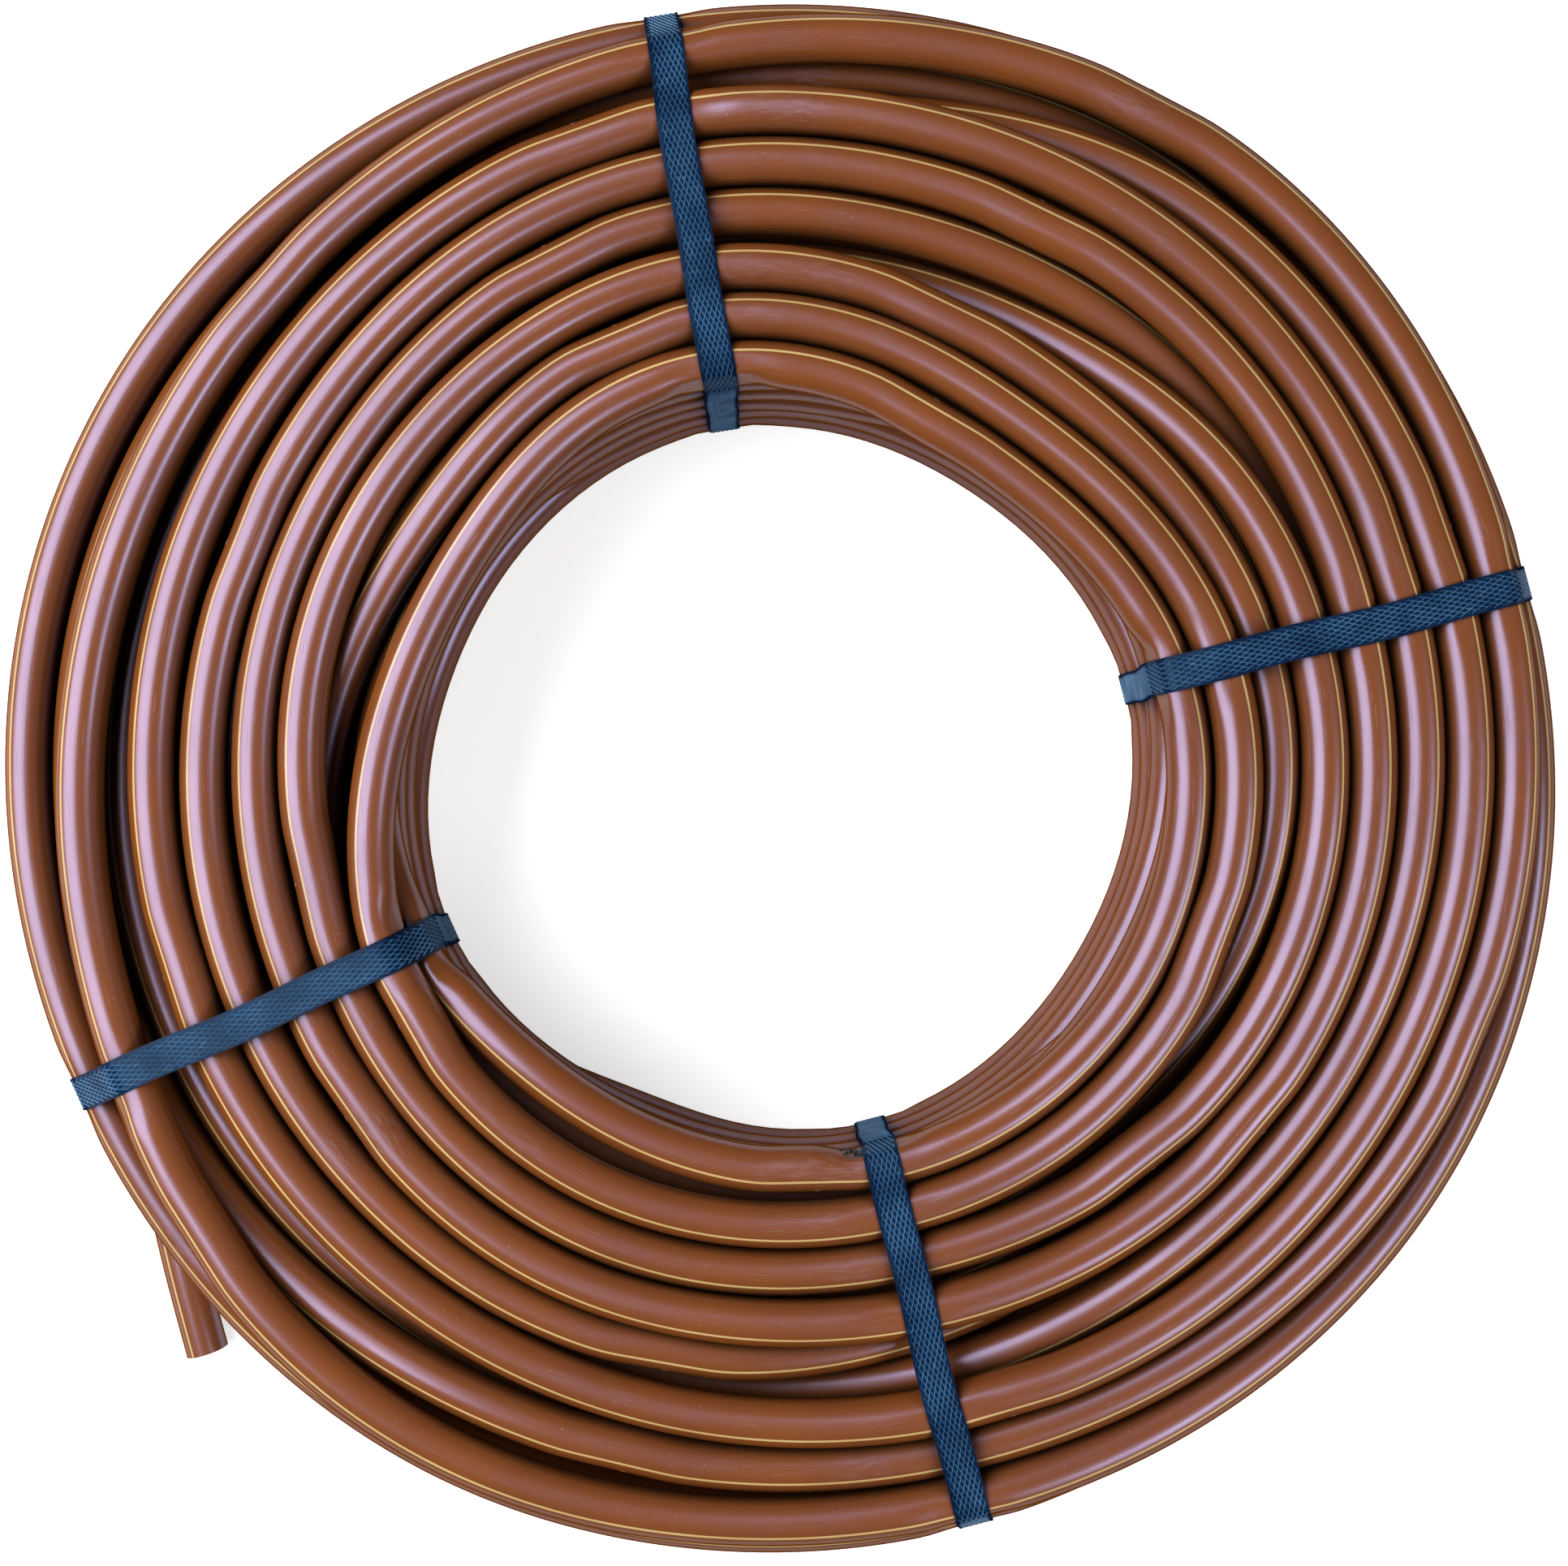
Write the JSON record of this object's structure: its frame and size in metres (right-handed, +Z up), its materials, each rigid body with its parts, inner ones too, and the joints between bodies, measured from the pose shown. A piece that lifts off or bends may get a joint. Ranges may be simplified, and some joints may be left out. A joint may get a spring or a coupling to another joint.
{
  "type": "drip hose coil",
  "caption": "Coil of brown drip irrigation hose with a fine yellow stripe, tied flat by four blue straps, with one free tail end.",
  "frame": {"origin": "on the coil's vertical axis, at the level of the flat undersides of the straps that the coil rests on", "axes": "+Z up along the coil's axis; +X towards the strap at 14.6 degrees; the free tail end is at -X, -Y, and the hose winds anticlockwise towards it as seen from above"},
  "size_m": [0.5409, 0.5405, 0.1213],
  "materials": {
    "hose": "semi-matte extruded polyethylene, orange-brown, with a fine pale yellow stripe along its length",
    "strap": "navy polypropylene strapping with an embossed diamond grid",
    "emitter": "black moulded polyethylene"
  },
  "bodies": {
    "coil": {"emitter_01": "emitter", "emitter_02": "emitter", "emitter_03": "emitter", "emitter_04": "emitter", "emitter_05": "emitter", "emitter_06": "emitter", "emitter_07": "emitter", "emitter_08": "emitter", "emitter_09": "emitter", "emitter_10": "emitter", "emitter_11": "emitter", "emitter_12": "emitter", "emitter_13": "emitter", "emitter_14": "emitter", "emitter_15": "emitter", "emitter_16": "emitter", "emitter_17": "emitter", "emitter_18": "emitter", "emitter_19": "emitter", "emitter_20": "emitter", "emitter_21": "emitter", "emitter_22": "emitter", "emitter_23": "emitter", "emitter_24": "emitter", "hose_layer_1": "hose", "hose_layer_2": "hose", "hose_layer_3": "hose", "hose_layer_4": "hose", "hose_layer_5": "hose", "hose_outer_wrap": "hose", "hose_top_a": "hose", "hose_top_b": "hose", "hose_top_c": "hose", "hose_top_d": "hose", "hose_top_e": "hose", "strap_bottom": "strap", "strap_left": "strap", "strap_right": "strap", "strap_top": "strap"},
    "tail": {"hose_tail": "hose"}
  },
  "joints": [
    {"name": "tail_flex", "type": "hinge", "parent": "coil", "child": "tail", "pos_m": [-0.25038, -0.12646, 0.0092], "axis": [0, 0, -1], "range_deg": [-10, 25]}
  ]
}
